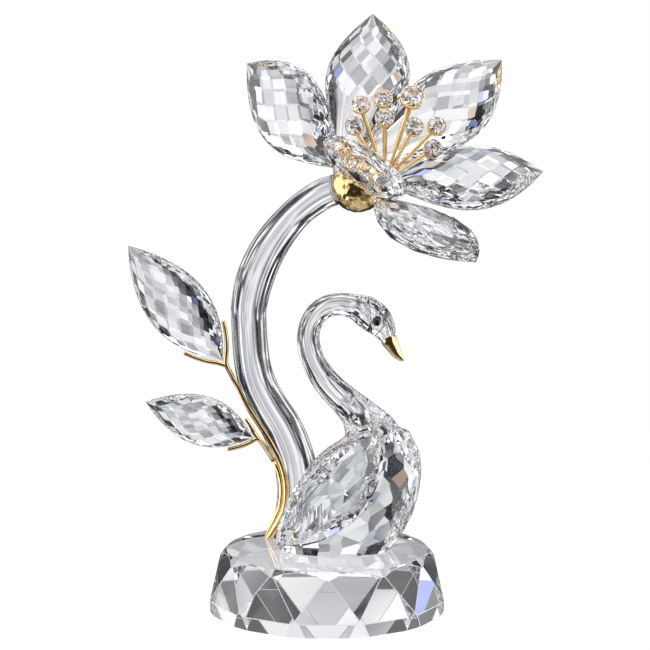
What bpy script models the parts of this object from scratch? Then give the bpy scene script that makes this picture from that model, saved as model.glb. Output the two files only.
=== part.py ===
"""Crystal swan figurine: a swan on a cut plinth, under a tall lotus flower on a crystal stem.

Sizes are in millimetres and the meshes are made in metres. X is to the right of the picture, Y away from the
viewer and Z up. The origin is the middle of the plinth's underside. Pieces that touch are kept GAP apart.
"""

import math

import bmesh
import bpy
from mathutils import Matrix, Vector

METRE = 0.001
GAP = 0.3

# Plinth: twelve tall facets point up, twelve point down, and a low band stands on the table.
PLINTH_SIDES = 12
PLINTH_HEIGHT = 24.0
PLINTH_TOP_RADIUS = 40.0
PLINTH_FOOT_RADIUS = 46.0
PLINTH_BAND = 6.5
PLINTH_CHAMFER = 1.6
PLINTH_CHAMFER_FACETS = 60

# Swan: its pose is drawn in shares of its height, from the plinth's top to the crown.
SWAN_HEIGHT = 102.0
SWAN_AHEAD = 3.0
SWAN_FACETS_ROUND = 20
SWAN_FACET_ROWS = 8
WING_DOME = 7.5
WING_BACK = 3.0
EYE_RADIUS = 1.15

# Stem: its path is drawn in shares of its height, from the plinth's top to the calyx's middle, and of how
# far its foot stands behind the plinth's middle. The twig hugs it, and its clips start behind the leaves.
STEM_HEIGHT = 143.7
STEM_BACK = 20.6
STEM_RADIUS = 7.4
TWIG_RADIUS = 1.15
CLIP_TAIL = 3.2

# Leaves and petals are long stones with staggered rows of facets. Each fullness moves the widest place:
# above one it lies nearer the tip, below one nearer the root. A leaf's root is a stalk away from the stem.
STONE_FACETS_ROUND = 12
STONE_FACET_ROWS = 8
UPPER_LEAF_LENGTH = 58.4
UPPER_LEAF_WIDTH = 26.0
UPPER_LEAF_STALK = 6.2
LOWER_LEAF_LENGTH = 44.8
LOWER_LEAF_WIDTH = 20.5
LOWER_LEAF_STALK = 8.0
LEAF_THICKNESS = 9.0
LEAF_FULLNESS = 0.92
PETAL_REACH = 74.0
PETAL_THICKNESS = 12.4
PETAL_WIDTH = 34.8
PETAL_FULLNESS = 1.2

# Flower: the petals start at PETAL_ROOT from the calyx's middle, and the pins stand on a boss beside it.
CALYX_RADIUS = 10.7
PETAL_ROOT = 9.5
FLOWER_AXIS = Vector((0.40, -0.55, 0.73)).normalized()
BOSS_RADIUS = 4.6
PIN_REACH = 30.0
PIN_RADIUS = 0.95
PIN_FOOT_RADIUS = 0.72
PIN_SPREAD = 1.5
PIN_SIDES = 6
CUP_RADIUS = 3.75
CUP_WALL = 0.6
CUP_DEPTH = 4.2
CUP_SIDES = 8
BRILLIANT_HEIGHT = 3.4
BRILLIANT_SIDES = 8


def clear_scene():
    for obj in list(bpy.data.objects):
        bpy.data.objects.remove(obj, do_unlink=True)


def make_material(name, colour, roughness, metallic=0.0, transmission=0.0):
    material = bpy.data.materials.new(name)
    material.use_nodes = True
    shader = material.node_tree.nodes["Principled BSDF"]
    shader.inputs["Base Color"].default_value = (*colour, 1.0)
    shader.inputs["Roughness"].default_value = roughness
    shader.inputs["Metallic"].default_value = metallic
    shader.inputs["Transmission Weight"].default_value = transmission
    return material


def add_object(name, bm, material=None, smooth_below=None):
    """A bmesh in millimetres becomes an object in metres."""
    mesh = bpy.data.meshes.new(name)
    bmesh.ops.recalc_face_normals(bm, faces=bm.faces[:])
    bm.to_mesh(mesh)
    bm.free()
    mesh.transform(Matrix.Scale(METRE, 4))
    if smooth_below:
        mesh.shade_smooth()
        mesh.set_sharp_from_angle(angle=math.radians(smooth_below))
    obj = bpy.data.objects.new(name, mesh)
    bpy.context.scene.collection.objects.link(obj)
    if material:
        mesh.materials.append(material)
    return obj


def add_cutter(name, bm):
    obj = add_object(name, bm)
    obj.hide_render = True
    obj.display_type = "WIRE"
    return obj


def boolean(obj, other, operation):
    modifier = obj.modifiers.new(operation.title(), "BOOLEAN")
    modifier.operation = operation
    modifier.solver = "EXACT"
    modifier.object = other


def hull_of(points):
    """The closed hull of some points, in triangles."""
    bm = bmesh.new()
    hull = bmesh.ops.convex_hull(bm, input=[bm.verts.new(point) for point in points])
    spare = {item for item in hull["geom_interior"] + hull["geom_unused"] if isinstance(item, bmesh.types.BMVert)}
    bmesh.ops.delete(bm, geom=list(spare), context="VERTS")
    return bm


def cut_facets(planes, inside):
    """The stone between planes, each a point and an outward normal. A hull of their duals gives its corners."""
    duals = []
    for point, normal in planes:
        unit = normal.normalized()
        duals.append(unit * 100 / unit.dot(point - inside))
    bm = hull_of(duals)
    bm.normal_update()
    corners = [inside + face.normal * 100 / face.normal.dot(face.verts[0].co) for face in bm.faces]
    bm.free()
    stone = hull_of(corners)
    bmesh.ops.remove_doubles(stone, verts=stone.verts[:], dist=0.02)
    corners = [vert.co.copy() for vert in stone.verts]
    stone.free()
    stone = hull_of(corners)
    bmesh.ops.dissolve_limit(stone, angle_limit=math.radians(0.3), verts=stone.verts[:], edges=stone.edges[:])
    return stone


def moved(planes, frame, grow=0.0):
    """The same planes in another frame, pushed outwards by grow."""
    turn = frame.to_3x3()
    return [(frame @ p + grow * (turn @ n).normalized(), turn @ n) for p, n in planes]


def frame_from(origin, along, across):
    """A frame at origin whose X runs along and whose Y is as near across as it can be."""
    x = along.normalized()
    z = x.cross(across).normalized()
    y = z.cross(x)
    frame = Matrix((x, y, z)).transposed().to_4x4()
    frame.translation = origin
    return frame


def spline(points, steps):
    """A smooth run through points of any dimension, with steps parts between two of them."""
    ends = [2 * points[0] - points[1], *points, 2 * points[-1] - points[-2]]
    run = []
    for a, b, c, d in zip(ends, ends[1:], ends[2:], ends[3:]):
        for i in range(steps):
            t = i / steps
            curve = 2 * b + (c - a) * t + (2 * a - 5 * b + 4 * c - d) * t**2
            run.append((curve + (3 * b - a - 3 * c + d) * t**3) / 2)
    return run + [points[-1]]


def tube(path, radii, sides, flat=1.0, round_end=False, level_foot=False):
    """A closed tube along a path. flat squeezes it in Y, round_end gives the far end a dome and level_foot a level start."""
    bm = bmesh.new()
    rings = []
    side = None
    path = list(path)
    radii = list(radii)
    if round_end:
        way = (path[-1] - path[-2]).normalized()
        tip = path[-1]
        last = radii[-1]
        for turn in (30, 60):
            path.append(tip + way * last * math.sin(math.radians(turn)))
            radii.append(last * math.cos(math.radians(turn)))
    for i, point in enumerate(path):
        way = (path[min(i + 1, len(path) - 1)] - path[max(i - 1, 0)]).normalized()
        side = way.cross(Vector((0, 1, 0))) if side is None else side - side.dot(way) * way
        side.normalize()
        depth = way.cross(side)
        ring = []
        for j in range(sides):
            angle = math.tau * j / sides
            offset = side * math.cos(angle) + depth * math.sin(angle) * flat
            if level_foot and i == 0:
                offset.z = 0
            ring.append(bm.verts.new(point + offset * radii[i]))
        rings.append(ring)
    for low, high in zip(rings, rings[1:]):
        for j in range(sides):
            k = (j + 1) % sides
            bm.faces.new((low[j], low[k], high[k], high[j]))
    bm.faces.new(rings[0])
    bm.faces.new(rings[-1])
    bmesh.ops.recalc_face_normals(bm, faces=bm.faces[:])
    return bm


def build_plinth(crystal):
    """Four sets of facets by angle: pointing up, pointing down, the band and its corners."""
    step = math.tau / PLINTH_SIDES
    corner = PLINTH_FOOT_RADIUS / math.cos(step / 2)
    apex_height = PLINTH_HEIGHT - PLINTH_CHAMFER
    apex = PLINTH_TOP_RADIUS + 1.5 * PLINTH_CHAMFER
    crease = 0.8 * PLINTH_BAND

    def at(radius, turn, height):
        angle = turn * step - math.pi / 2
        return Vector((radius * math.cos(angle), radius * math.sin(angle), height))

    def plane(a, b, c):
        normal = (b - a).cross(c - a)
        return a, normal if normal.xy.dot(a.xy) > 0 else -normal

    planes = [(Vector((0, 0, PLINTH_HEIGHT)), Vector((0, 0, 1))), (Vector(), Vector((0, 0, -1)))]
    for i in range(PLINTH_SIDES):
        left, right = at(corner, i - 0.5, PLINTH_BAND), at(corner, i + 0.5, PLINTH_BAND)
        top, after = at(apex, i, apex_height), at(apex, i + 1, apex_height)
        planes.append(plane(left, right, top))
        planes.append(plane(right, top, after))
        outwards = (left + right).normalized()
        outwards.z = 0
        middle = (left + right) / 2 + (left + right - 2 * top).normalized() * (PLINTH_BAND - crease)
        planes.append((middle, outwards))
        before, behind = at(corner, i + 0.413, 0), at(corner, i + 0.587, 0)
        planes.append(plane(right, before * 0.985, behind * 0.985))
    for i in range(PLINTH_CHAMFER_FACETS):
        angle = math.tau * (i + 0.5) / PLINTH_CHAMFER_FACETS
        out = Vector((math.cos(angle), math.sin(angle), 0))
        planes.append((out * PLINTH_TOP_RADIUS + Vector((0, 0, PLINTH_HEIGHT)), out + Vector((0, 0, 1))))
    return add_object("base", cut_facets(planes, Vector((0, 0, PLINTH_HEIGHT / 2))), crystal)


def swan_point(x, z, y=0.0):
    """A point of the swan in shares of its height, with X from the plinth's middle."""
    return Vector((x * SWAN_HEIGHT, y * SWAN_HEIGHT - SWAN_AHEAD, PLINTH_HEIGHT + GAP + z * SWAN_HEIGHT))


def body_planes():
    """The body is a leaning egg, cut flat below, with rows of facets that twist towards the tail."""
    planes = [(swan_point(0, 0), Vector((0, 0, -1)))]
    half_long, half_deep, half_high, belly = 0.248, 0.147, 0.333, 0.168
    for row in range(SWAN_FACET_ROWS + 1):
        height = 0.015 + 0.47 * row / SWAN_FACET_ROWS
        rise = (height - belly) / half_high
        girth = math.sqrt(max(1 - rise * rise, 0.02))
        lean = 0.031 + 0.345 * height
        twist = 0.55 * (1 - height / 0.5) ** 2 + math.pi / SWAN_FACETS_ROUND * (row % 2)
        for i in range(SWAN_FACETS_ROUND):
            angle = math.tau * i / SWAN_FACETS_ROUND - twist
            a, b = half_long * girth * math.cos(angle), half_deep * girth * math.sin(angle)
            slope = math.cos(angle) / half_long, math.sin(angle) / half_deep
            up = rise / half_high / girth - slope[0] * 0.345
            planes.append((swan_point(lean + a, height, b), Vector((slope[0], slope[1], up))))
    return planes


def neck_run():
    """Neck and head in one run: X, Z and radius in shares of the swan's height."""
    stations = [
        (0.190, 0.350, 0.128), (0.170, 0.448, 0.112), (0.128, 0.522, 0.076), (0.076, 0.578, 0.060),
        (0.025, 0.626, 0.054), (-0.021, 0.682, 0.050), (-0.051, 0.736, 0.0465), (-0.067, 0.785, 0.0443),
        (-0.072, 0.833, 0.0430), (-0.062, 0.882, 0.0422), (-0.036, 0.925, 0.0422), (0.006, 0.952, 0.0424),
        (0.055, 0.958, 0.0435), (0.100, 0.950, 0.0480), (0.145, 0.932, 0.0600), (0.187, 0.901, 0.0600),
        (0.215, 0.868, 0.0485), (0.232, 0.833, 0.0340),
    ]
    run = spline([Vector(station) for station in stations], 2)
    return [swan_point(x, z) for x, z, _ in run], [r * SWAN_HEIGHT for _, _, r in run]


def eye_point(side):
    return swan_point(0.190, 0.893, -side * 0.0505)


def wing_planes(side, grow=0.0):
    """The wing is a pointed dome stone whose long facets meet in a star, over three rows of small ones."""
    if side > 0:
        low, high = swan_point(-0.195, 0.035, -0.085), swan_point(0.195, 0.488, -0.105)
    else:
        low, high = swan_point(-0.140, 0.070, 0.062), swan_point(0.180, 0.448, 0.105)
    middle = (low + high) / 2
    half = (high - low).length / 2
    frame = frame_from(middle, high - low, Vector((0.75, 0.18 * side, -0.65)))
    planes = []
    for bulge, sign in ((0.158, 1), (0.122, -1)):
        rise = bulge * SWAN_HEIGHT
        arc = (half * half + rise * rise) / (2 * rise)
        open_angle = math.asin(half / arc)
        for ring, (tilt, count) in enumerate(((32, 6), (58, 9), (78, 12))):
            tilt = math.radians(tilt)
            for i in range(count):
                turn = open_angle * 0.97 * (2 * (i + 0.5) / count - 1)
                out = Vector((math.sin(turn), sign * math.cos(turn), 0))
                support = arc - (arc - rise) * math.cos(turn)
                for thick in (WING_DOME, -WING_BACK):
                    normal = out * math.sin(tilt) / support + Vector((0, 0, math.cos(tilt) / thick))
                    planes.append((normal / normal.length_squared, normal))
    return moved(planes, frame, grow), middle


def build_swan(crystal, gold, black):
    body = add_object("swan", cut_facets(body_planes(), swan_point(0.1, 0.2)), crystal)
    path, radii = neck_run()
    neck = add_cutter("neck_form", tube(path, radii, 12, flat=0.82))
    boolean(body, neck, "UNION")
    for side, name in ((1, "near"), (-1, "far")):
        planes, middle = wing_planes(side)
        add_object(f"wing_{name}", cut_facets(planes, middle), crystal)
        planes, middle = wing_planes(side, GAP)
        boolean(body, add_cutter(f"wing_seat_{name}", cut_facets(planes, middle)), "DIFFERENCE")
        place = Matrix.Translation(eye_point(side))
        eye, socket = bmesh.new(), bmesh.new()
        bmesh.ops.create_icosphere(eye, subdivisions=2, radius=EYE_RADIUS, matrix=place)
        bmesh.ops.create_icosphere(socket, subdivisions=2, radius=EYE_RADIUS + GAP, matrix=place)
        add_object(f"eye_{name}", eye, black, smooth_below=60)
        boolean(body, add_cutter(f"eye_socket_{name}", socket), "DIFFERENCE")
    stations = [(0.2395, 0.8165, 0.0315), (0.252, 0.795, 0.027), (0.269, 0.766, 0.0215), (0.287, 0.748, 0.0165)]
    run = spline([Vector(station) for station in stations], 2)
    bill = tube([swan_point(x, z) for x, z, _ in run], [r * SWAN_HEIGHT for *_, r in run], 10, 0.75, True)
    add_object("beak", bill, gold, smooth_below=50)


def stem_spot(x, y, z):
    """A point by its shares of the stem's height, and in Y of how far back its foot stands."""
    return Vector((x * STEM_HEIGHT, y * STEM_BACK, PLINTH_HEIGHT + GAP + z * STEM_HEIGHT))


def stem_run():
    """Middle line and radius of the stem, from its foot up to the calyx."""
    stations = [
        (-0.0926, 1.000, 0.0000, 1.32), (-0.0919, 1.000, 0.0278, 1.22), (-0.0842, 0.995, 0.0870, 1.16),
        (-0.0835, 0.995, 0.1601, 1.16), (-0.0960, 0.995, 0.2296, 1.15), (-0.1273, 0.971, 0.3083, 1.12),
        (-0.1663, 0.947, 0.3744, 1.07), (-0.1962, 0.922, 0.4391, 1.02), (-0.2116, 0.893, 0.5080, 0.98),
        (-0.2185, 0.854, 0.6068, 0.96), (-0.2171, 0.801, 0.6653, 0.98), (-0.1969, 0.709, 0.7481, 1.02),
        (-0.1559, 0.592, 0.8330, 0.96), (-0.0939, 0.437, 0.9130, 0.85), (-0.0264, 0.316, 0.9673, 0.83),
        (0.0313, 0.233, 0.9923, 0.80),
    ]
    run = spline([Vector(station) for station in stations], 2)
    path = [stem_spot(x, y, z) for x, y, z, _ in run]
    return path, [share * STEM_RADIUS for *_, share in run]


def calyx_middle():
    return stem_spot(0.0842, 0.1456, 1.0)


def build_stem(crystal):
    path, radii = stem_run()
    stem = add_object("stem", tube(path, radii, 14, level_foot=True), crystal, smooth_below=40)
    bm = bmesh.new()
    place = Matrix.Translation(calyx_middle())
    bmesh.ops.create_icosphere(bm, subdivisions=3, radius=CALYX_RADIUS + GAP, matrix=place)
    boolean(stem, add_cutter("stem_end", bm), "DIFFERENCE")


def stem_place(share):
    """The stem's middle, its radius and its way at a share of its run up from the foot."""
    path, radii = stem_run()
    place = share * (len(path) - 1)
    low = int(place)
    middle = path[low].lerp(path[low + 1], place - low)
    radius = radii[low] + (radii[low + 1] - radii[low]) * (place - low)
    return middle, radius, (path[low + 1] - path[low]).normalized()


# Each leaf: its share of the stem's run, its stalk and the stalk's way, its length and its way, its width.
LEAVES = {
    "leaf_upper": (8 / 15, UPPER_LEAF_STALK, Vector((-0.8775, -0.4759, 0.0595)),
                   UPPER_LEAF_LENGTH, Vector((-0.6254, -0.0343, 0.7796)), UPPER_LEAF_WIDTH),
    "leaf_lower": (5 / 15, LOWER_LEAF_STALK, Vector((-0.7308, -0.6755, -0.0983)),
                   LOWER_LEAF_LENGTH, Vector((-0.9250, -0.1564, 0.3463)), LOWER_LEAF_WIDTH),
}


def leaf_frame(name):
    """Where a leaf grows: its root, the way to its tip and its width's way."""
    share, stalk, beside, length, way, width = LEAVES[name]
    middle, radius, _ = stem_place(share)
    root = middle + beside * (radius + stalk)
    return frame_from(root, way, Vector((0, -0.15, 1))), length, width


def stone_profile(share, fullness):
    """Half breadth of a leaf or petal by its share of the length, from 0 over 1 to 0."""
    return math.sin(math.pi * share**fullness) ** 0.85


def stone_planes(length, width, thickness, fullness):
    """A long pointed stone along X, with staggered rows of tangent facets."""
    planes = []
    for row in range(STONE_FACET_ROWS):
        share = 0.045 + 0.905 * row / (STONE_FACET_ROWS - 1)
        breadth = stone_profile(share, fullness)
        ahead, behind = stone_profile(share + 0.001, fullness), stone_profile(share - 0.001, fullness)
        fall = (ahead - behind) / 0.002 / length
        for i in range(STONE_FACETS_ROUND):
            angle = math.tau * (i + 0.5 * (row % 2)) / STONE_FACETS_ROUND
            across, up = width / 2 * math.cos(angle), thickness / 2 * math.sin(angle)
            normal = Vector((-fall / breadth, across / (width / 2) ** 2 / breadth, up / (thickness / 2) ** 2 / breadth))
            planes.append((Vector((share * length, across * breadth, up * breadth)), normal))
    return planes


def build_leaves(crystal):
    for name in LEAVES:
        frame, length, width = leaf_frame(name)
        planes = moved(stone_planes(length, width, LEAF_THICKNESS, LEAF_FULLNESS), frame)
        add_object(name, cut_facets(planes, frame @ Vector((length / 2, 0, 0))), crystal)


def edge_wire(name, side, reach):
    """A clip wire along one edge of a leaf, from behind its root to a share of its length."""
    frame, length, width = leaf_frame(name)
    clear = TWIG_RADIUS + 2 * GAP
    points = [Vector((-CLIP_TAIL, 0, 0))]
    for i in range(5):
        share = 0.012 + (reach - 0.012) * i / 4
        half = width / 2 * stone_profile(share, LEAF_FULLNESS)
        points.append(Vector((share * length - clear * 0.6, side * (half + clear), 0)))
    return [frame @ point for point in points]


def stem_side(share, turn):
    """A point beside the stem: a share of its run up from the foot, and degrees round from its front to its left."""
    middle, radius, way = stem_place(share)
    left = way.cross(Vector((0, 1, 0))).normalized()
    front = way.cross(left)
    angle = math.radians(turn)
    out = radius + TWIG_RADIUS + 2 * GAP
    return middle + (left * math.sin(angle) + front * math.cos(angle)) * out


def build_twig(gold):
    """One gold casting: a wire up the stem's front to the upper leaf, a branch to the lower leaf, and four clips."""
    upper, lower = edge_wire("leaf_upper", 1, 0.24), edge_wire("leaf_lower", -1, 0.2)
    climb = [(0.0, 62), (0.08, 42), (0.14, 29), (0.20, 26), (0.26, 28), (0.32, 34), (0.38, 40), (0.43, 46), (0.49, 60)]
    main = [stem_side(share, turn) for share, turn in climb]
    main[0].z = PLINTH_HEIGHT + GAP
    main += upper
    branch = [stem_side(0.19, 27), stem_side(0.245, 45), stem_side(0.29, 68)] + lower
    twig = None
    routes = [main, branch, edge_wire("leaf_upper", -1, 0.24), edge_wire("leaf_lower", 1, 0.12)]
    for i, points in enumerate(routes):
        path = spline(points, 2)
        radii = [TWIG_RADIUS * (1 - 0.25 * k / len(path)) for k in range(len(path))]
        if i == 0:
            radii[0], radii[1] = TWIG_RADIUS * 1.5, TWIG_RADIUS * 1.25
        bm = tube(path, radii, 6, round_end=True, level_foot=i == 0)
        if twig is None:
            twig = add_object("twig", bm, gold, smooth_below=60)
        else:
            boolean(twig, add_cutter(f"twig_wire_{i}", bm), "UNION")


# Each petal: direction of its tip from the calyx, its share of PETAL_REACH and its roll in degrees.
PETALS = {
    "petal_left": (Vector((-0.603, 0.465, 0.648)), 0.9932, -81),
    "petal_top": (Vector((0.086, 0.385, 0.917)), 0.9892, -42),
    "petal_upper_right": (Vector((0.738, 0.241, 0.631)), 1.0459, -8),
    "petal_right": (Vector((0.997, -0.003, 0.075)), 0.9743, 2),
    "petal_lower_right": (Vector((0.571, -0.747, -0.340)), 0.9878, -2),
    "petal_front": (Vector((0.035, -0.981, 0.189)), 1.0189, -2),
}


def petal_frame(name):
    way, share, roll = PETALS[name]
    way = way.normalized()
    across = Matrix.Rotation(math.radians(roll), 3, way) @ FLOWER_AXIS.cross(way)
    return frame_from(calyx_middle() + way * PETAL_ROOT, way, across), share * PETAL_REACH - PETAL_ROOT


def petal_shape(name, grow=0.0):
    frame, length = petal_frame(name)
    planes = moved(stone_planes(length, PETAL_WIDTH, PETAL_THICKNESS, PETAL_FULLNESS), frame, grow)
    return cut_facets(planes, frame @ Vector((length / 2, 0, 0)))


def boss_middle():
    return calyx_middle() + CALYX_RADIUS * Vector((1.0280, -0.2336, 0.3925))


# Each stamen: its head's place from the boss in shares of PIN_REACH, and its size beside the usual head.
STAMENS = [
    (Vector((-0.3400, -0.4167, 0.9100)), 1.0),
    (Vector((-0.0533, -0.3500, 0.9833)), 1.0),
    (Vector((0.3100, -0.4833, 1.0000)), 1.28),
    (Vector((-0.0433, -0.6833, 0.7467)), 1.0),
    (Vector((-0.4233, -0.6833, 0.6467)), 1.0),
    (Vector((0.3233, -0.6833, 0.6333)), 1.0),
    (Vector((0.6233, -0.4833, 0.6367)), 1.0),
    (Vector((0.5667, -0.6167, 0.3567)), 1.0),
]


def lathe(profile, sides, frame):
    """A closed body turned round the frame's X, from (place along it, radius) pairs. A radius of 0 closes an end."""
    bm = bmesh.new()
    rings = []
    for along, radius in profile:
        count = sides if radius > 0 else 1
        turns = [math.tau * j / sides for j in range(count)]
        places = [Vector((along, radius * math.cos(turn), radius * math.sin(turn))) for turn in turns]
        rings.append([bm.verts.new(frame @ place) for place in places])
    for low, high in zip(rings, rings[1:]):
        for j in range(sides):
            k = (j + 1) % sides
            corners = [low[j % len(low)], low[k % len(low)], high[k % len(high)], high[j % len(high)]]
            bm.faces.new(list(dict.fromkeys(corners)))
    return bm


def build_stamens(crystal, gold):
    """Pins that fan out of the boss, each with an open cup that faces the viewer and holds a round stone."""
    boss = boss_middle()
    ways = [head.normalized() for head, _ in STAMENS]
    middle = sum(ways, Vector()) / len(ways)
    for i, (head, size) in enumerate(STAMENS):
        foot = boss + (middle + PIN_SPREAD * (ways[i] - middle)).normalized() * (BOSS_RADIUS + 1.4 * GAP)
        facing = (ways[i] * 0.45 + Vector((0.0, -1.0, 0.2))).normalized()
        frame = frame_from(boss + PIN_REACH * head, facing, Vector((0, 0, 1)))
        outer, hollow = CUP_RADIUS * size, (CUP_RADIUS - CUP_WALL) * size
        rim = 0.25 * CUP_DEPTH * size
        back = rim - CUP_DEPTH * size
        floor = back + CUP_WALL * size
        cup = lathe([(floor, 0), (floor, hollow * 0.3), (-GAP, hollow), (rim, hollow), (rim, outer), (-GAP, outer),
                     (0.6 * back, outer * 0.8), (back, outer * 0.3), (back, 0)], CUP_SIDES, frame)
        stamen = add_object(f"stamen_{i + 1}", cup, gold, smooth_below=50)
        neck = frame @ Vector((0.93 * back, 0, 0))
        pin = tube([foot, neck], [PIN_FOOT_RADIUS, PIN_RADIUS * size], PIN_SIDES)
        boolean(stamen, add_cutter(f"pin_{i + 1}", pin), "UNION")
        girdle = hollow * math.cos(math.pi / CUP_SIDES) - GAP
        height = BRILLIANT_HEIGHT * size
        stone = lathe([(0.42 * height, 0), (0.42 * height, girdle * 0.56), (0.06 * height, girdle), (0.0, girdle),
                       (-0.58 * height, 0)], BRILLIANT_SIDES, frame)
        add_object(f"stone_{i + 1}", stone, crystal)


def build_flower(crystal, gold, bronze):
    """The calyx and its boss are one casting, seated to the petals."""
    bm = bmesh.new()
    bmesh.ops.create_icosphere(bm, subdivisions=2, radius=CALYX_RADIUS, matrix=Matrix.Translation(calyx_middle()))
    calyx = add_object("calyx", bm, bronze)
    bm = bmesh.new()
    bmesh.ops.create_icosphere(bm, subdivisions=2, radius=BOSS_RADIUS, matrix=Matrix.Translation(boss_middle()))
    boolean(calyx, add_cutter("boss", bm), "UNION")
    for name in PETALS:
        add_object(name, petal_shape(name), crystal)
        boolean(calyx, add_cutter(f"{name}_seat", petal_shape(name, GAP)), "DIFFERENCE")
    build_stamens(crystal, gold)


def main():
    clear_scene()
    crystal = make_material("crystal", (0.93, 0.94, 0.96), 0.0, transmission=1.0)
    gold = make_material("polished gold", (0.86, 0.58, 0.22), 0.12, metallic=1.0)
    bronze = make_material("hammered gold", (0.66, 0.44, 0.18), 0.22, metallic=1.0)
    black = make_material("black bead", (0.01, 0.01, 0.012), 0.08)
    build_plinth(crystal)
    build_swan(crystal, gold, black)
    build_stem(crystal)
    build_leaves(crystal)
    build_twig(gold)
    build_flower(crystal, gold, bronze)


main()
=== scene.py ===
"""Crystal swan figurine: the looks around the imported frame. Lengths are in millimetres until a mesh is made."""

import math

import bmesh
import bpy
from mathutils import Matrix, Vector, noise


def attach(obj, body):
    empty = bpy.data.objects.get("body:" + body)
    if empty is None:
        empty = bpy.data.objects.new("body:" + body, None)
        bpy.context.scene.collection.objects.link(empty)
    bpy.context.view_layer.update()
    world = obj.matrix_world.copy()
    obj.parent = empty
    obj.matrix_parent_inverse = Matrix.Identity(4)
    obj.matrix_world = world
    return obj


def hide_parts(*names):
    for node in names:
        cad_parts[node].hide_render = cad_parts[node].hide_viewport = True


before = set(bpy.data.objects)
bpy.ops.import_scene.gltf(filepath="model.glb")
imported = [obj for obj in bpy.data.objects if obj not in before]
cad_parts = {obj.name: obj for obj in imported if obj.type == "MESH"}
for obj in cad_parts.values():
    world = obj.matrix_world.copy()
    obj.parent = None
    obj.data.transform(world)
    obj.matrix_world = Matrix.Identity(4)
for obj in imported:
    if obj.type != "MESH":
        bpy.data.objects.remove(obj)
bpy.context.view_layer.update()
scene = bpy.context.scene

METRE = 0.001
GAP = 0.3  # stands for the glue between two pieces
TOP = 24.3  # where the pieces on the plinth start
SWAN_HEIGHT = 102.0
SWAN_AHEAD = 3.0  # the swan's middle plane stands this far in front of the plinth's
BEAK_SCALE = 101.0  # the height that the beak's radii are shares of
STEM_RADIUS = 7.4
WIRE_RADIUS = 1.15
WING_EDGE, PLINTH_EDGE = 0.06, 0.18  # widths of their bevels
LEAF_THICKNESS, PETAL_THICKNESS, PETAL_WIDTH = 9.0, 12.4, 34.8
LEAF_FULLNESS, PETAL_FULLNESS = 0.92, 1.2  # below 1 the root is the broader end, above 1 the tip
PETAL_START = 9.5  # from the calyx's centre
CUT_INDEX, DRAWN_INDEX, STONE_INDEX = 1.58, 1.52, 1.9


def new_material(name):
    material = bpy.data.materials.new(name)
    material.use_nodes = True
    return material, material.node_tree, material.node_tree.nodes["Principled BSDF"]


def own_noise(tree, scale, detail=2.0):
    """Noise in the object's own space."""
    place = tree.nodes.new("ShaderNodeTexCoord")
    grain = tree.nodes.new("ShaderNodeTexNoise")
    grain.inputs["Scale"].default_value = scale
    grain.inputs["Detail"].default_value = detail
    tree.links.new(place.outputs["Object"], grain.inputs["Vector"])
    return grain


def own_tint(tree, shader, grain, dark, light, low=0.0, high=1.0):
    """The shader's colour runs from dark to light as the noise does from low to high."""
    ramp = tree.nodes.new("ShaderNodeValToRGB")
    for element, position, colour in zip(ramp.color_ramp.elements, (low, high), (dark, light)):
        element.position = position
        element.color = (*colour, 1)
    tree.links.new(grain.outputs["Fac"], ramp.inputs["Fac"])
    tree.links.new(ramp.outputs["Color"], shader.inputs["Base Color"])


def noise_bump(tree, shader, scale, strength, distance, detail=2.0):
    """Fine relief from noise."""
    grain = own_noise(tree, scale, detail)
    bump = tree.nodes.new("ShaderNodeBump")
    bump.inputs["Strength"].default_value = strength
    bump.inputs["Distance"].default_value = distance
    tree.links.new(grain.outputs["Fac"], bump.inputs["Height"])
    tree.links.new(bump.outputs["Normal"], shader.inputs["Normal"])
    return grain


def crystal_material(name, ior, polish, rough=0.0, clear=1.0):
    """Clear crystal whose tint drifts a little. Where polish isn't nought, its surface waves a little too."""
    material, tree, shader = new_material(name)
    own_tint(tree, shader, own_noise(tree, 60.0), (0.97, 0.98, 1.0), (1.0, 1.0, 0.99))
    shader.inputs["Roughness"].default_value = rough
    shader.inputs["IOR"].default_value = ior
    shader.inputs["Transmission Weight"].default_value = clear
    if polish:
        noise_bump(tree, shader, 90.0, polish, 0.0002)
    return material


def gold_material(name, dark, light, rough, scale, relief, distance):
    """Gold plate: its colour and roughness drift a little, over a fine relief."""
    material, tree, shader = new_material(name)
    shader.inputs["Metallic"].default_value = 1.0
    grain = noise_bump(tree, shader, scale, relief, distance, 3.0)
    own_tint(tree, shader, grain, dark, light, 0.3, 0.7)
    spread = tree.nodes.new("ShaderNodeMapRange")
    spread.inputs["To Min"].default_value = rough * 0.7
    spread.inputs["To Max"].default_value = rough * 1.5
    tree.links.new(grain.outputs["Fac"], spread.inputs["Value"])
    tree.links.new(spread.outputs["Result"], shader.inputs["Roughness"])
    return material


def bead_material(name):
    material, tree, shader = new_material(name)
    shader.inputs["Base Color"].default_value = (0.008, 0.008, 0.01, 1)
    shader.inputs["Roughness"].default_value = 0.04
    shader.inputs["Specular IOR Level"].default_value = 0.2
    noise_bump(tree, shader, 800.0, 0.02, 0.0001)
    return material


CUT = crystal_material("cut crystal", CUT_INDEX, 0.0)
EDGE = crystal_material("edges of cut crystal", CUT_INDEX, 0.02, 0.3, 0.15)
DRAWN = crystal_material("drawn crystal", DRAWN_INDEX, 0.01, 0.06)
STONE = crystal_material("round stone crystal", STONE_INDEX, 0.0)
GOLD = gold_material("polished gold", (0.80, 0.54, 0.23), (0.93, 0.71, 0.38), 0.07, 160.0, 0.04, 0.0003)
HAMMERED = gold_material("hammered gold", (0.62, 0.40, 0.15), (0.90, 0.65, 0.32), 0.10, 300.0, 0.25, 0.0006)
BLACK = bead_material("black bead")


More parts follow.
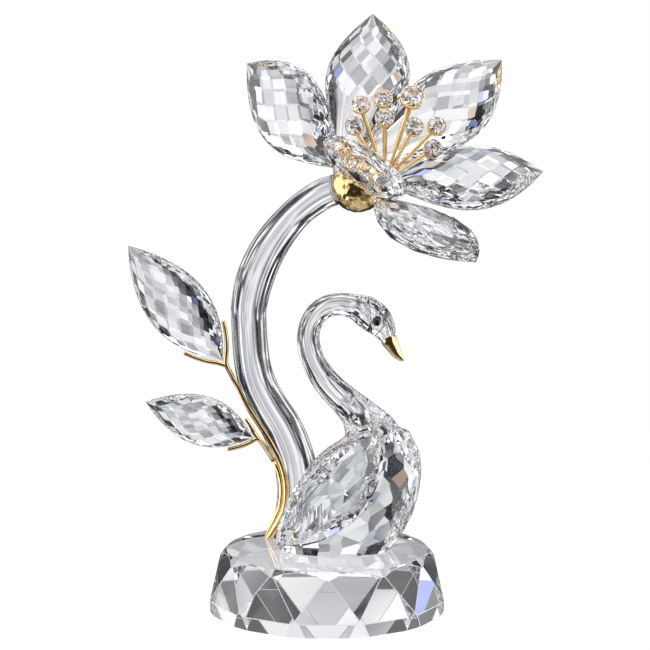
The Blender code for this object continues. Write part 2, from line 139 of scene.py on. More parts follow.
def plain_object(name, bm):
    """A bmesh in millimetres becomes an object in metres."""
    mesh = bpy.data.meshes.new(name)
    bmesh.ops.recalc_face_normals(bm, faces=bm.faces[:])
    bm.to_mesh(mesh)
    bm.free()
    mesh.transform(Matrix.Scale(METRE, 4))
    obj = bpy.data.objects.new(name, mesh)
    scene.collection.objects.link(obj)
    return obj


def add_piece(name, bm, material, slot, node, smooth=None):
    finish_piece(plain_object(name, bm), material, slot, node, smooth)


def finish_piece(obj, material, slot, node, smooth=None):
    """A piece gets its material, and stands for a node of the frame. Crystal casts no shadow, as it lets light by."""
    mesh = obj.data
    if smooth:
        mesh.shade_smooth()
        mesh.set_sharp_from_angle(angle=math.radians(smooth))
    marks = [face.material_index for face in mesh.polygons]
    mesh.materials.clear()
    mesh.materials.append(material)
    if any(marks):
        mesh.materials.append(EDGE)
    mesh.polygons.foreach_set("material_index", marks)
    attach(obj, "root")
    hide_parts(node)
    obj.visible_shadow = slot not in ("crystal", "round_stone")


def hull_of(points):
    bm = bmesh.new()
    hull = bmesh.ops.convex_hull(bm, input=[bm.verts.new(point) for point in points])
    spare = {item for item in hull["geom_interior"] + hull["geom_unused"] if isinstance(item, bmesh.types.BMVert)}
    bmesh.ops.delete(bm, geom=list(spare), context="VERTS")
    return bm


def cut_facets(planes, inside, weld=0.01):
    """The stone between planes, each a point and an outward normal. A hull of their duals gives its corners."""
    duals = []
    for point, normal in planes:
        unit = normal.normalized()
        duals.append(unit * 100 / unit.dot(point - inside))
    bm = hull_of(duals)
    bm.normal_update()
    corners = [inside + face.normal * 100 / face.normal.dot(face.verts[0].co) for face in bm.faces]
    bm.free()
    stone = hull_of(corners)
    bmesh.ops.remove_doubles(stone, verts=stone.verts[:], dist=weld)
    corners = [vert.co.copy() for vert in stone.verts]
    stone.free()
    stone = hull_of(corners)
    bmesh.ops.dissolve_limit(stone, angle_limit=math.radians(0.25), verts=stone.verts[:], edges=stone.edges[:])
    return stone


def edged(bm, width):
    """Narrow bevels along every edge, in a piece's second material."""
    bmesh.ops.bevel(bm, geom=bm.edges[:], offset=width, affect="EDGES", segments=1, clamp_overlap=True, material=1)
    return bm


def moved(planes, place, grow=0.0):
    """Planes put in place, and pushed out by grow."""
    turn = place.to_3x3()
    return [(place @ p + grow * (turn @ n).normalized(), turn @ n) for p, n in planes]


def frame_from(origin, along, across):
    """A place with its X along, and its Y as near to across as can be."""
    x = along.normalized()
    z = x.cross(across).normalized()
    y = z.cross(x)
    place = Matrix((x, y, z)).transposed().to_4x4()
    place.translation = origin
    return place


def spline(points, steps):
    """A smooth run through all the points."""
    ends = [2 * points[0] - points[1], *points, 2 * points[-1] - points[-2]]
    run = []
    for a, b, c, d in zip(ends, ends[1:], ends[2:], ends[3:]):
        for i in range(steps):
            t = i / steps
            curve = 2 * b + (c - a) * t + (2 * a - 5 * b + 4 * c - d) * t**2
            run.append((curve + (3 * b - a - 3 * c + d) * t**3) / 2)
    return run + [points[-1]]


def tube(path, radii, sides, flat=1.0, round_end=False, level_foot=False, into=None):
    """A closed tube along a path. Flat is its depth over its width."""
    bm = into or bmesh.new()
    rings = []
    side = None
    path = list(path)
    radii = list(radii)
    if round_end:
        way = (path[-1] - path[-2]).normalized()
        tip = path[-1]
        last = radii[-1]
        for turn in (20, 40, 60, 80):
            path.append(tip + way * last * math.sin(math.radians(turn)))
            radii.append(last * math.cos(math.radians(turn)))
    for i, point in enumerate(path):
        way = (path[min(i + 1, len(path) - 1)] - path[max(i - 1, 0)]).normalized()
        side = way.cross(Vector((0, 1, 0))) if side is None else side - side.dot(way) * way
        side.normalize()
        depth = way.cross(side)
        ring = []
        for j in range(sides):
            angle = math.tau * j / sides
            offset = side * math.cos(angle) + depth * math.sin(angle) * flat
            if level_foot and i == 0:
                offset.z = 0
            ring.append(bm.verts.new(point + offset * radii[i]))
        rings.append(ring)
    for low, high in zip(rings, rings[1:]):
        for j in range(sides):
            k = (j + 1) % sides
            bm.faces.new((low[j], low[k], high[k], high[j]))
    bm.faces.new(rings[0])
    bm.faces.new(rings[-1])
    return bm


def applied(obj, cutter_bm, operation):
    """The object's mesh after a Boolean with a mesh in millimetres."""
    cutter = plain_object("cutter", cutter_bm)
    modifier = obj.modifiers.new("Boolean", "BOOLEAN")
    modifier.operation = operation
    modifier.solver = "EXACT"
    modifier.object = cutter
    graph = bpy.context.evaluated_depsgraph_get()
    graph.update()
    result = bpy.data.meshes.new_from_object(obj.evaluated_get(graph))
    obj.modifiers.clear()
    obj.data = result
    bpy.data.objects.remove(cutter, do_unlink=True)


def egg(place, subdivisions=4, radius=1.0, smooth=True):
    """A ball, which its place may stretch."""
    bm = bmesh.new()
    bmesh.ops.create_icosphere(bm, subdivisions=subdivisions, radius=radius, matrix=place)
    for face in bm.faces:
        face.smooth = smooth
    return bm


def swan_point(x, z, y=0.0):
    """A point by its shares of the swan's height, from the middle of its foot."""
    return Vector((x * SWAN_HEIGHT, y * SWAN_HEIGHT - SWAN_AHEAD, TOP + z * SWAN_HEIGHT))


def body_planes():
    """Rows of facets round an egg that leans forward as it rises."""
    planes = [(swan_point(0, 0), Vector((0, 0, -1)))]
    half_long, half_deep, half_high, belly, slant = 0.248, 0.147, 0.333, 0.168, 0.345
    rows, count = 7, 16
    for row in range(rows + 1):
        height = 0.015 + 0.47 * row / rows
        rise = (height - belly) / half_high
        girth = math.sqrt(max(1 - rise * rise, 0.02))
        lean = 0.031 + slant * height
        twist = 0.55 * (1 - height / 0.5) ** 2 + math.pi / count * (row % 2)
        for i in range(count):
            angle = math.tau * i / count - twist
            # The rump narrows upward, behind the wings' upper edges
            narrow = 0.23 if rise > 0 and math.cos(angle) < 0 else 0.0
            long = half_long * (1 - narrow * rise)
            a, b = long * girth * math.cos(angle), half_deep * girth * math.sin(angle)
            slope = math.cos(angle) / long, math.sin(angle) / half_deep
            shear = slant - narrow * half_long / half_high * girth * math.cos(angle)
            up = rise / half_high / girth - slope[0] * shear
            planes.append((swan_point(lean + a, height, b), Vector((slope[0], slope[1], up))))
    return planes


def neck_run(steps):
    """Middle line and radii from the breast to the brow, by stations of x, z and radius."""
    stations = [
        (0.190, 0.350, 0.128), (0.170, 0.448, 0.112), (0.128, 0.522, 0.076), (0.076, 0.578, 0.060),
        (0.025, 0.626, 0.054), (-0.021, 0.682, 0.050), (-0.051, 0.736, 0.0465), (-0.067, 0.785, 0.0443),
        (-0.072, 0.833, 0.0430), (-0.062, 0.882, 0.0422), (-0.036, 0.925, 0.0422), (0.006, 0.952, 0.0424),
        (0.055, 0.958, 0.0435), (0.100, 0.950, 0.0480), (0.145, 0.932, 0.0600), (0.187, 0.901, 0.0600),
        (0.215, 0.868, 0.0485), (0.232, 0.833, 0.0340),
    ]
    run = spline([Vector(station) for station in stations], steps)
    return [swan_point(x, z) for x, z, _ in run], [r * SWAN_HEIGHT for _, _, r in run]


def wing_planes(side, grow=0.0):
    """Front and back facets in rings of (slope, count) about the middle, out to two arcs from tail to shoulder."""
    if side > 0:
        low, high = swan_point(-0.195, 0.035, -0.085), swan_point(0.195, 0.488, -0.105)
    else:
        low, high = swan_point(-0.140, 0.070, 0.062), swan_point(0.180, 0.448, 0.105)
    middle = (low + high) / 2
    half = (high - low).length / 2
    place = frame_from(middle, high - low, Vector((0.75, 0.18 * side, -0.65)))
    planes = []
    for bulge, sign in ((0.158, 1), (0.101, -1)):
        rise = bulge * SWAN_HEIGHT
        arc = (half * half + rise * rise) / (2 * rise)
        open_angle = math.asin(half / arc)
        front = [(7.5, *ring) for ring in ((34, 6), (46, 8), (57, 11), (68, 14), (80, 18))]
        back = [(-7.0, *ring) for ring in ((32, 5), (56, 8), (80, 18))]
        for thick, slope, count in front + back:
            for i in range(count):
                tilt = math.radians(slope + (3 if i % 2 else -2) * (slope < 58))
                turn = open_angle * 0.97 * (2 * (i + 0.5) / count - 1)
                out = Vector((math.sin(turn), sign * math.cos(turn), 0))
                support = arc - (arc - rise) * math.cos(turn)
                normal = out * math.sin(tilt) / support + Vector((0, 0, math.cos(tilt) / thick))
                planes.append((normal / normal.length_squared, normal))
    return moved(planes, place, grow), middle


EYE_X, EYE_Z, EYE_RADIUS = 0.190, 0.893, 1.35
BROW = [(0.128, 0.986, 0.022), (0.143, 0.960, 0.040), (0.158, 0.930, 0.0485), (0.165, 0.905, 0.0495)]


def build_swan():
    swan = plain_object("swan_crystal", cut_facets(body_planes(), swan_point(0.1, 0.2)))
    path, radii = neck_run(5)
    neck = tube(path, radii, 64, flat=0.82)
    for face in neck.faces:
        face.smooth = len(face.verts) == 4
    applied(swan, neck, "UNION")
    for side, name in ((1, "near"), (-1, "far")):
        planes, middle = wing_planes(side)
        wing = edged(cut_facets(planes, middle), WING_EDGE)
        add_piece(f"wing_{name}_crystal", wing, CUT, "crystal", f"wing_{name}")
        planes, middle = wing_planes(side, GAP)
        applied(swan, cut_facets(planes, middle), "DIFFERENCE")
        eye = bmesh.new()
        place = Matrix.Translation(swan_point(EYE_X, EYE_Z, -side * 0.0505))
        bmesh.ops.create_uvsphere(eye, u_segments=24, v_segments=16, radius=EYE_RADIUS, matrix=place)
        add_piece(f"eye_{name}_bead", eye, BLACK, "black_bead", f"eye_{name}", smooth=80)
        # A shallow oval hollow low on the neck, and the groove of the brow
        turn = Matrix.Rotation(math.radians(49), 4, "Y")
        oval = Matrix.Diagonal((10.0, 1.2, 2.9, 1.0))
        beside = Matrix.Translation(swan_point(0.038, 0.648, -side * 0.0480))
        applied(swan, egg(beside @ turn @ oval, 5), "DIFFERENCE")
        brow = spline([swan_point(x, z, -side * y) for x, z, y in BROW], 5)
        applied(swan, tube(brow, [0.42] * len(brow), 12, round_end=True), "DIFFERENCE")
        # An oval rim, with a socket for the eye
        turn = Matrix.Rotation(math.radians(-14), 4, "Y")
        oval = Matrix.Diagonal((2.5, 1.5, 3.7, 1.0))
        middle = Matrix.Translation(swan_point(EYE_X, EYE_Z, -side * 0.0385))
        applied(swan, egg(middle @ turn @ oval), "UNION")
        applied(swan, egg(place, radius=EYE_RADIUS + 0.02, smooth=False), "DIFFERENCE")
    rounds = [face.use_smooth for face in swan.data.polygons]
    swan.data.set_sharp_from_angle(angle=math.radians(14))
    swan.data.polygons.foreach_set("use_smooth", rounds)
    finish_piece(swan, CUT, "crystal", "swan")


def build_beak():
    stations = [
        (0.2310, 0.8320, 0.0290), (0.2395, 0.8165, 0.0310), (0.252, 0.795, 0.0262), (0.269, 0.766, 0.0190),
        (0.286, 0.749, 0.0125),
    ]
    run = spline([Vector(station) for station in stations], 6)
    radii = [r * BEAK_SCALE for *_, r in run]
    bill = tube([swan_point(x, z) for x, z, _ in run], radii, 28, flat=0.92, round_end=True)
    add_piece("beak_gold", bill, GOLD, "polished_gold", "beak", smooth=50)


def stem_run(steps):
    """Middle line and radii from the foot to the calyx, by stations of x, y, z and share of the radius."""
    stations = [
        (-13.3, 20.6, 0.0, 1.32), (-13.2, 20.6, 4.0, 1.22), (-12.1, 20.5, 12.5, 1.16), (-12.0, 20.5, 23.0, 1.16),
        (-13.8, 20.5, 33.0, 1.15), (-18.3, 20.0, 44.3, 1.12), (-23.9, 19.5, 53.8, 1.07), (-28.2, 19.0, 63.1, 1.02),
        (-30.4, 18.4, 73.0, 0.98), (-31.4, 17.6, 87.2, 0.96), (-31.2, 16.5, 95.6, 0.98), (-28.3, 14.6, 107.5, 1.02),
        (-22.4, 12.2, 119.7, 0.96), (-13.5, 9.0, 131.2, 0.85), (-3.8, 6.5, 139.0, 0.83), (4.5, 4.8, 142.6, 0.80),
    ]
    run = spline([Vector(station) for station in stations], steps)
    path = [Vector((x, y, TOP + z)) for x, y, z, _ in run]
    return path, [share * STEM_RADIUS for *_, share in run]


CALYX = Vector((12.1, 3.0, 143.7 + TOP))
BOSS = CALYX + Vector((11.0, -2.5, 4.2))
FLOWER_AXIS = Vector((0.40, -0.55, 0.73)).normalized()


def build_stem():
    path, radii = stem_run(6)
    stem = plain_object("stem_crystal", tube(path, radii, 48, level_foot=True))
    applied(stem, egg(Matrix.Translation(CALYX), radius=11.0, smooth=False), "DIFFERENCE")
    finish_piece(stem, DRAWN, "crystal", "stem", smooth=40)


def stone_profile(share, fullness):
    """Share of a leaf's or petal's width at a share of its length."""
    return math.sin(math.pi * share**fullness) ** 0.85


def stone_planes(length, width, thickness, fullness, count=14, rows=14):
    """Tangent facets in three levels: large rhombi on the faces, finer rows towards the rims."""
    planes = []
    finer = (1.6, 2.4) if rows > 10 else (1.25, 1.6)
    for scale, low, high in ((1, 34, 91), (finer[0], 17, 34), (finer[1], -1, 17)):
        level_rows, level_count = round(rows * scale), 2 * round(count * scale / 2)
        for row in range(level_rows):
            share = 0.03 + 0.94 * (row + 0.5) / level_rows
            breadth = stone_profile(share, fullness)
            ahead, behind = stone_profile(share + 0.001, fullness), stone_profile(share - 0.001, fullness)
            fall = (ahead - behind) / 0.002 / length
            for i in range(level_count):
                turn = 360 * (i + 0.5 * (row % 2)) / level_count
                if not low < abs((turn + 90) % 180 - 90) <= high:
                    continue
                angle = math.radians(turn)
                across, up = width / 2 * math.cos(angle), thickness / 2 * math.sin(angle)
                normal = Vector((-fall / breadth, across / (width / 2) ** 2 / breadth,
                                 up / (thickness / 2) ** 2 / breadth))
                planes.append((Vector((share * length, across * breadth, up * breadth)), normal))
    return planes


# Each leaf's root, tip and width, read with the plinth's top at this height
LEAVES_TOP = 24.6
LEAVES = {
    "leaf_upper": (Vector((-42.2, 12.0, 98.4)), Vector((-78.7, 10.0, 143.9)), 26.0),
    "leaf_lower": (Vector((-30.2, 9.0, 67.3)), Vector((-71.6, 2.0, 82.8)), 20.5),
}


def leaf_frame(name):
    root, tip, width = LEAVES[name]
    lift = Vector((0, 0, TOP - LEAVES_TOP))
    return frame_from(root + lift, tip - root, Vector((0, -0.15, 1))), (tip - root).length, width


def build_leaves():
    for name in LEAVES:
        place, length, width = leaf_frame(name)
        planes = moved(stone_planes(length, width, LEAF_THICKNESS, LEAF_FULLNESS), place)
        leaf = cut_facets(planes, place @ Vector((length / 2, 0, 0)))
        add_piece(f"{name}_crystal", leaf, CUT, "crystal", name)


def edge_wire(name, side, reach):
    """A clip's wire along one edge of a leaf, as far as a share of its length."""
    place, length, width = leaf_frame(name)
    clear = 1.1 + GAP / 2
    points = [Vector((-3.2, 0, 0))]
    for i in range(5):
        share = 0.012 + (reach - 0.012) * i / 4
        half = width / 2 * stone_profile(share, LEAF_FULLNESS)
        points.append(Vector((share * length - clear * 0.6, side * (half + clear), 0)))
    return [place @ point for point in points]


def stem_side(share, turn):
    """A point beside the stem, at a share of its run and degrees round from its front to its left."""
    path, radii = stem_run(2)
    spot = share * (len(path) - 1)
    low = int(spot)
    middle = path[low].lerp(path[low + 1], spot - low)
    radius = radii[low] + (radii[low + 1] - radii[low]) * (spot - low)
    way = (path[low + 1] - path[low]).normalized()
    left = way.cross(Vector((0, 1, 0))).normalized()
    front = way.cross(left)
    angle = math.radians(turn)
    return middle + (left * math.sin(angle) + front * math.cos(angle)) * (radius + WIRE_RADIUS + 2 * GAP)


def build_twig():
    upper, lower = edge_wire("leaf_upper", 1, 0.21), edge_wire("leaf_lower", -1, 0.17)
    climb = [(0.0, 62), (0.08, 42), (0.14, 29), (0.20, 26), (0.26, 28), (0.32, 34), (0.38, 40), (0.43, 46), (0.49, 60)]
    main = [stem_side(share, turn) for share, turn in climb]
    main[0].z = TOP
    main += upper
    branch = [(0.0, 76), (0.08, 56), (0.14, 42), (0.19, 38), (0.23, 40), (0.26, 44), (0.285, 50)]
    branch = [stem_side(share, turn) for share, turn in branch]
    branch[0].z = TOP
    branch += lower
    twig = bmesh.new()
    wires = [
        (main, 1.25, 0.8), (branch, WIRE_RADIUS, 0.8), (edge_wire("leaf_upper", -1, 0.2), 0.95, 0.75),
        (edge_wire("leaf_lower", 1, 0.12), 0.95, 0.75),
    ]
    for points, thick, thin in wires:
        path = spline(points, 6)
        radii = [thick + (thin - thick) * k / len(path) for k in range(len(path))]
        if points is main:
            for k in range(6):
                radii[k] = thick * (1.4 - 0.4 * k / 6)
        tube(path, radii, 14, round_end=True, level_foot=points is main or points is branch, into=twig)
    add_piece("twig_gold", twig, GOLD, "polished_gold", "twig", smooth=60)


# Each petal: the way of its tip from the calyx, its reach and its roll in degrees
PETALS = {
    "petal_left": (Vector((-0.603, 0.465, 0.648)), 73.5, -81),
    "petal_top": (Vector((0.086, 0.385, 0.917)), 73.2, -42),
    "petal_upper_right": (Vector((0.738, 0.241, 0.631)), 77.4, -8),
    "petal_right": (Vector((0.997, -0.003, 0.075)), 72.1, 2),
    "petal_lower_right": (Vector((0.571, -0.747, -0.340)), 73.1, -2),
    "petal_front": (Vector((0.035, -0.981, 0.189)), 75.1, -2),
}


def build_petals():
    for name, (way, reach, roll) in PETALS.items():
        way = way.normalized()
        across = Matrix.Rotation(math.radians(roll), 3, way) @ FLOWER_AXIS.cross(way)
        place = frame_from(CALYX + way * PETAL_START, way, across)
        length = reach - PETAL_START
        count, rows = (11, 9) if name in ("petal_front", "petal_lower_right") else (14, 14)
        planes = stone_planes(length, PETAL_WIDTH, PETAL_THICKNESS, PETAL_FULLNESS, count, rows)
        petal = cut_facets(moved(planes, place), place @ Vector((length / 2, 0, 0)))
        add_piece(f"{name}_crystal", petal, CUT, "crystal", name)


def build_calyx():
    """Beaten cup and boss: small flat dents, each pushed in or out a little."""
    bm = bmesh.new()
    for middle, radius in ((CALYX, 10.35), (BOSS, 4.4)):
        made = bmesh.ops.create_icosphere(bm, subdivisions=4, radius=radius, matrix=Matrix.Translation(middle))
        for vert in made["verts"]:
            out = (vert.co - middle).normalized()
            vert.co += out * 0.42 * noise.noise(out * radius * 0.8)
    add_piece("calyx_gold", bm, HAMMERED, "hammered_gold", "calyx")


# Each stamen's head from the boss, and its size
STAMENS = [
    (Vector((-10.2, -12.5, 27.3)), 1.0),
    (Vector((-1.6, -10.5, 29.5)), 1.0),
    (Vector((9.3, -14.5, 30.0)), 1.28),
    (Vector((-1.3, -20.5, 22.4)), 1.0),
    (Vector((-12.7, -20.5, 19.4)), 1.0),
    (Vector((9.7, -20.5, 19.0)), 1.0),
    (Vector((18.7, -14.5, 19.1)), 1.0),
    (Vector((17.0, -18.5, 10.7)), 1.0),
]


def lathe(profile, sides, place):
    """A shape turned round X, by points of (along, radius)."""
    bm = bmesh.new()
    rings = []
    for along, radius in profile:
        count = sides if radius > 0 else 1
        turns = [math.tau * j / sides for j in range(count)]
        places = [Vector((along, radius * math.cos(turn), radius * math.sin(turn))) for turn in turns]
        rings.append([bm.verts.new(place @ point) for point in places])
    for low, high in zip(rings, rings[1:]):
        for j in range(sides):
            k = (j + 1) % sides
            corners = [low[j % len(low)], low[k % len(low)], high[k % len(high)], high[j % len(high)]]
            bm.faces.new(list(dict.fromkeys(corners)))
    return bm


def brilliant_planes(radius):
    """Round brilliant round X: table, stars, mains, upper girdle, girdle, lower girdle and pavilion."""
    planes = [(Vector((radius * 0.34, 0, 0)), Vector((1, 0, 0)))]

    def ring(tilt, count, offset, reach, along):
        for i in range(count):
            turn = math.tau * (i + offset) / count
            out = Vector((0, math.cos(turn), math.sin(turn)))
            ahead = math.copysign(math.cos(math.radians(tilt)), tilt)
            tipped = out * math.sin(math.radians(abs(tilt))) + Vector((ahead, 0, 0))
            planes.append((out * reach * radius + Vector((along * radius, 0, 0)), tipped))

    ring(34, 8, 0.0, 1.0, 0.03)
    ring(24, 8, 0.5, 0.72, 0.245)
    ring(41, 16, 0.5, 1.0, 0.03)
    ring(-41, 8, 0.0, 1.0, -0.03)
    ring(-43, 16, 0.5, 1.0, -0.03)
    for i in range(32):
        turn = math.tau * i / 32
        out = Vector((0, math.cos(turn), math.sin(turn)))
        planes.append((out * radius, out))
    return planes


def build_stamens():
    ways = [head.normalized() for head, _ in STAMENS]
    middle = sum(ways, Vector()) / len(ways)
    for i, (head, size) in enumerate(STAMENS):
        foot = BOSS + (middle + 1.5 * (ways[i] - middle)).normalized() * 4.6
        facing = (ways[i] * 0.45 + Vector((0.0, -1.0, 0.2))).normalized()
        place = frame_from(BOSS + head, facing, Vector((0, 0, 1)))
        outer, hollow, depth = 3.72 * size, 3.1 * size, 4.2 * size
        rim = 0.25 * depth
        back = rim - depth
        floor = back + 0.6 * size
        lip = outer - 0.24 * size
        inside = [(floor, 0), (floor, hollow * 0.3), (-GAP, hollow), (rim - 0.75, hollow + 0.1)]
        inside.append((rim - 0.12, lip - 0.08))
        edge = [(rim, lip), (rim, outer - 0.1), (rim - 0.12, outer), (-GAP, outer)]
        shares = [(0.3, 0.96), (0.6, 0.8), (0.85, 0.52), (1.0, 0.3), (1.0, 0)]
        profile = inside + edge + [(along * back, across * outer) for along, across in shares]
        stamen = lathe(profile, 32, place)
        neck = place @ Vector((0.93 * back, 0, 0))
        thin, thick = 0.72, 0.95 * size
        tube([foot, foot.lerp(neck, 0.5), neck], [thin, 0.5 * (thin + thick), thick], 16, into=stamen)
        for k in range(6):
            turn = math.tau * (k + 0.5) / 6
            out = Vector((0, math.cos(turn), math.sin(turn)))
            spots = [(rim - 0.5, outer - 0.2), (rim + 0.05, outer - 0.3), (rim + 0.22, outer - 0.62 * size)]
            claw = [place @ (out * across + Vector((along, 0, 0))) for along, across in spots]
            tube(claw, [0.3, 0.3, 0.24], 8, round_end=True, into=stamen)
        add_piece(f"stamen_{i + 1}_gold", stamen, GOLD, "polished_gold", f"stamen_{i + 1}", smooth=45)
        girdle = lip - 0.12
        seat = place @ Matrix.Translation((rim - 0.14 * size, 0, 0))
        stone = cut_facets(moved(brilliant_planes(girdle), seat), seat.translation, 0.002)
        add_piece(f"stone_{i + 1}_cut", stone, STONE, "round_stone", f"stone_{i + 1}")


def dress_base():
    """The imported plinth's own shape, with narrow bevels that draw its edges."""
    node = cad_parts["base"]
    copy = bpy.data.objects.new("base_crystal", node.data.copy())
    scene.collection.objects.link(copy)
    copy.matrix_world = node.matrix_world.copy()
    bm = bmesh.new()
    bm.from_mesh(copy.data)
    unit = 1.0 / copy.matrix_world.to_scale().x
    bmesh.ops.remove_doubles(bm, verts=bm.verts[:], dist=1e-6 * unit)
    bmesh.ops.dissolve_limit(bm, angle_limit=math.radians(1.0), verts=bm.verts[:], edges=bm.edges[:])
    for face in bm.faces:
        face.material_index = 0
    edged(bm, PLINTH_EDGE * METRE * unit)
    bm.to_mesh(copy.data)
    bm.free()
    finish_piece(copy, CUT, "crystal", "base")


# Levels between which the panels at the quarters fade in, and those for the gloss, with their dark and light
PANEL = (0.25, 0.8)
BROAD, BROAD_LIGHT = (0.32, 0.70), (0.045, 2.1)
# Colours at levels of noise
PALE = [
    (0.32, (0.36, 0.37, 0.39)), (0.45, (0.66, 0.67, 0.69)), (0.55, (0.88, 0.89, 0.91)), (0.66, (1.08, 1.08, 1.08)),
]
SHADES = [
    (0.30, (0.004, 0.005, 0.010)), (0.49, (0.015, 0.015, 0.025)), (0.525, (0.30, 0.31, 0.33)),
    (0.56, (0.70, 0.71, 0.73)), (0.62, (1.0, 1.0, 1.0)), (0.71, (2.0, 2.0, 2.0)),
]
TINTS = [(0.24, (0.35, 0.42, 1.0)), (0.33, (1.0, 1.0, 1.0)), (0.67, (1.0, 1.0, 1.0)), (0.76, (1.0, 0.60, 0.28))]
NOISE_SHIFT = 1.3  # picks where in the noise the room lies, for patches in the crystal much like the photo's


def math_node(tree, operation, *values):
    node = tree.nodes.new("ShaderNodeMath")
    node.operation = operation
    for socket, value in zip(node.inputs, values):
        if isinstance(value, (int, float)):
            socket.default_value = value
        else:
            tree.links.new(value, socket)
    return node.outputs[0]


def smooth_step(tree, value, source, target):
    node = tree.nodes.new("ShaderNodeMapRange")
    node.interpolation_type = "SMOOTHSTEP"
    for name, number in zip(("From Min", "From Max", "To Min", "To Max"), (*source, *target)):
        node.inputs[name].default_value = number
    tree.links.new(value, node.inputs["Value"])
    return node.outputs["Result"]


def build_world():
    """A white room for the eye. What the crystal bends and mirrors is pale panels at the quarters, with small panels
    of light, grey and dark between them."""
    world = bpy.data.worlds.new("studio")
    world.use_nodes = True
    scene.world = world
    tree = world.node_tree
    tree.nodes.clear()
    place = tree.nodes.new("ShaderNodeTexCoord")
    split = tree.nodes.new("ShaderNodeSeparateXYZ")
    tree.links.new(place.outputs["Generated"], split.inputs[0])
    x, y, z = split.outputs
    quarter = math_node(tree, "COSINE", math_node(tree, "MULTIPLY", math_node(tree, "ARCTAN2", y, x), 4.0))
    level = math_node(tree, "SUBTRACT", 1.0, math_node(tree, "MULTIPLY", z, z))
    near = math_node(tree, "MULTIPLY", quarter, math_node(tree, "MULTIPLY", level, level))
    near = math_node(tree, "MAXIMUM", near, math_node(tree, "SUBTRACT", math_node(tree, "MULTIPLY", z, -2.0), 0.9))
    panel = smooth_step(tree, near, PANEL, (0.0, 1.0))

    def spread(scale, detail, stops, offset):
        shift = tree.nodes.new("ShaderNodeVectorMath")
        shift.inputs[1].default_value = (offset, 2 * offset, 3 * offset)
        cloud = tree.nodes.new("ShaderNodeTexNoise")
        cloud.inputs["Scale"].default_value = scale
        cloud.inputs["Detail"].default_value = detail
        shade = tree.nodes.new("ShaderNodeValToRGB")
        while len(shade.color_ramp.elements) < len(stops):
            shade.color_ramp.elements.new(0.5)
        for element, (position, colour) in zip(shade.color_ramp.elements, stops):
            element.position = position
            element.color = (*colour, 1)
        tree.links.new(place.outputs["Generated"], shift.inputs[0])
        tree.links.new(shift.outputs[0], cloud.inputs["Vector"])
        tree.links.new(cloud.outputs["Fac"], shade.inputs["Fac"])
        return shade.outputs["Color"]

    def mixed(kind, factor, a, b):
        node = tree.nodes.new("ShaderNodeMix")
        node.data_type = "RGBA"
        node.blend_type = kind
        for socket, value in zip((node.inputs[0], node.inputs[6], node.inputs[7]), (factor, a, b)):
            if isinstance(value, float):
                socket.default_value = value
            else:
                tree.links.new(value, socket)
        return node.outputs[2]

    shades, tints = spread(6.0, 2.0, SHADES, NOISE_SHIFT), spread(8.0, 0.0, TINTS, NOISE_SHIFT + 7.7)
    small = mixed("MULTIPLY", 1.0, shades, tints)
    blend = mixed("MIX", panel, small, spread(8.0, 1.0, PALE, NOISE_SHIFT + 3.1))
    # What the gold and the gloss mirror is broad panels of light to the left and right, overhead and below
    sides = math_node(tree, "MULTIPLY", math_node(tree, "MULTIPLY", x, x), level)
    above = math_node(tree, "MAXIMUM", sides, math_node(tree, "MULTIPLY", z, 0.75))
    below = math_node(tree, "MULTIPLY", z, -0.52)
    broad = smooth_step(tree, math_node(tree, "MAXIMUM", above, below), BROAD, BROAD_LIGHT)
    path = tree.nodes.new("ShaderNodeLightPath")
    seen = tree.nodes.new("ShaderNodeBackground")
    seen.inputs["Color"].default_value = (1, 1, 1, 1)
    bent = tree.nodes.new("ShaderNodeBackground")
    tree.links.new(blend, bent.inputs["Color"])
    mirrored = tree.nodes.new("ShaderNodeBackground")
    tree.links.new(broad, mirrored.inputs["Color"])
    gloss = tree.nodes.new("ShaderNodeMixShader")
    bounced = math_node(tree, "SUBTRACT", path.outputs["Is Glossy Ray"], path.outputs["Is Transmission Ray"])
    tree.links.new(bounced, gloss.inputs[0])
    tree.links.new(bent.outputs[0], gloss.inputs[1])
    tree.links.new(mirrored.outputs[0], gloss.inputs[2])
    mix = tree.nodes.new("ShaderNodeMixShader")
    output = tree.nodes.new("ShaderNodeOutputWorld")
    tree.links.new(path.outputs["Is Camera Ray"], mix.inputs[0])
    tree.links.new(gloss.outputs[0], mix.inputs[1])
    tree.links.new(seen.outputs[0], mix.inputs[2])
    tree.links.new(mix.outputs[0], output.inputs[0])


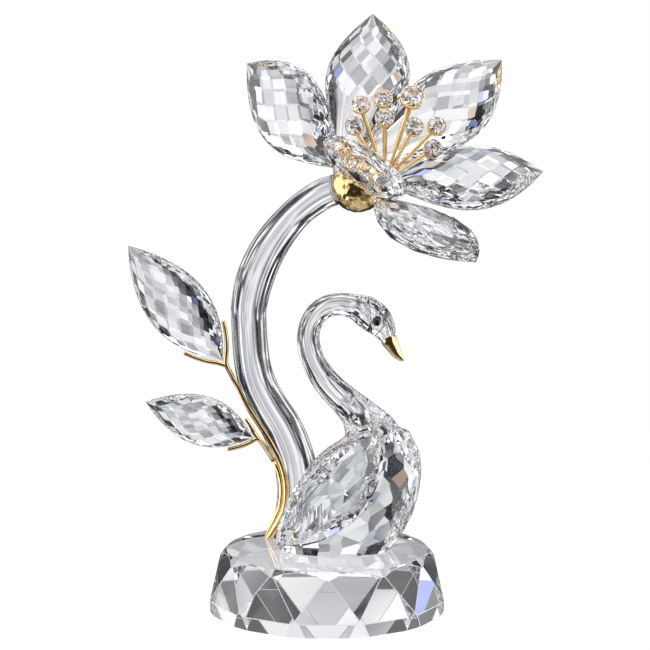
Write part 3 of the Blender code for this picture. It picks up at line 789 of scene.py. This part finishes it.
def area_light(name, place, target, size, power):
    data = bpy.data.lights.new(name, "AREA")
    data.shape = "RECTANGLE"
    data.size, data.size_y = size
    data.energy = power
    light = bpy.data.objects.new(name, data)
    light.location = place
    light.rotation_euler = (Vector(target) - Vector(place)).to_track_quat("-Z", "Y").to_euler()
    light.visible_camera = False
    scene.collection.objects.link(light)


def build_stage():
    """A white table just under the foot, and three weak lights. These lengths are in metres."""
    bm = bmesh.new()
    bmesh.ops.create_circle(bm, cap_ends=True, segments=96, radius=0.34, matrix=Matrix.Translation((0, 0, -0.0004)))
    mesh = bpy.data.meshes.new("floor")
    bm.to_mesh(mesh)
    bm.free()
    floor = bpy.data.objects.new("floor", mesh)
    scene.collection.objects.link(floor)
    material, _, shader = new_material("white table")
    shader.inputs["Base Color"].default_value = (0.9, 0.9, 0.9, 1)
    shader.inputs["Roughness"].default_value = 0.7
    shader.inputs["Emission Color"].default_value = (1, 1, 1, 1)
    shader.inputs["Emission Strength"].default_value = 0.55
    mesh.materials.append(material)
    floor.visible_transmission = False
    floor.visible_glossy = False
    area_light("key", (-0.55, -0.6, 0.75), (0, 0, 0.12), (0.4, 0.4), 0.9)
    area_light("fill", (0.7, -0.35, 0.45), (0, 0, 0.12), (0.25, 0.5), 0.6)
    area_light("rim", (0.15, 0.7, 0.6), (0, 0, 0.15), (0.5, 0.25), 0.7)


def build_camera():
    """The camera fitted to the photo: 1920 pixels of a picture 650 wide."""
    data = bpy.data.cameras.new("camera")
    data.sensor_width = 36.0
    data.lens = 1920.0 * data.sensor_width / 650.0
    data.clip_start = 0.05
    data.clip_end = 50.0
    camera = bpy.data.objects.new("camera", data)
    camera.location = (-0.0008, -0.750, 0.2039)
    camera.rotation_euler = (math.pi / 2 - 0.12, 0, 0)
    scene.collection.objects.link(camera)
    scene.camera = camera


build_camera()
build_world()
build_stage()
dress_base()
build_swan()
build_beak()
build_stem()
build_leaves()
build_twig()
build_petals()
build_calyx()
build_stamens()

scene.view_settings.view_transform = "Standard"
scene.cycles.use_denoising = True
scene.cycles.max_bounces = 24
scene.cycles.transmission_bounces = 24
scene.cycles.glossy_bounces = 12
scene.cycles.transparent_max_bounces = 16
